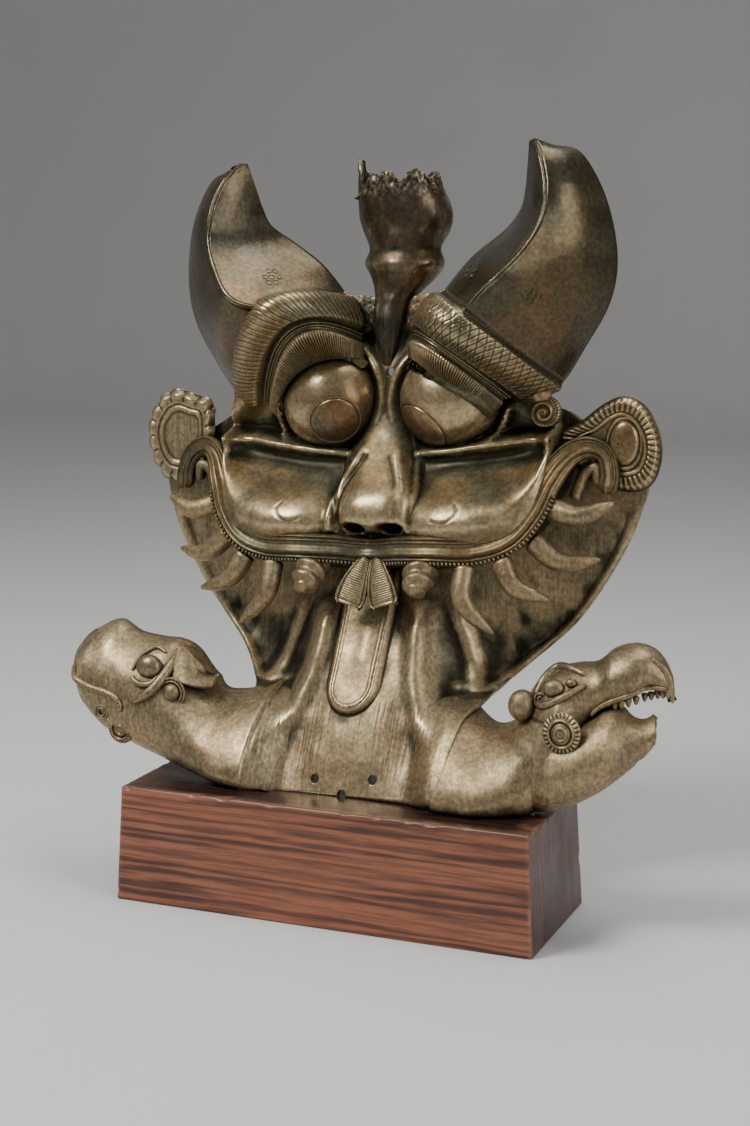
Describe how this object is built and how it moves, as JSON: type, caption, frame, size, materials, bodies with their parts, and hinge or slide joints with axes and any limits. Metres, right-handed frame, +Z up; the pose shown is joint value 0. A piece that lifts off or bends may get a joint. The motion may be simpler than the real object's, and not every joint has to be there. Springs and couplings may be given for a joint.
{
  "type": "kirtimukha mask",
  "caption": "Hollow cast bronze kirtimukha mask with horns, fangs, a long tongue and a beaked head at each side, standing on a wooden block.",
  "frame": {"origin": "centre of the block's underside, on the surface that it stands on", "axes": "+Z up, the mask faces -Y, +X to the viewer's right"},
  "size_m": [0.3774, 0.1466, 0.438],
  "materials": {
    "mask": "cast bronze with an olive-brown patina, green in the recesses and worn lighter on the edges",
    "block": "polished rosewood with dark wavy grain"
  },
  "bodies": {
    "root": {"mask": "mask", "block": "block"}
  },
  "joints": []
}
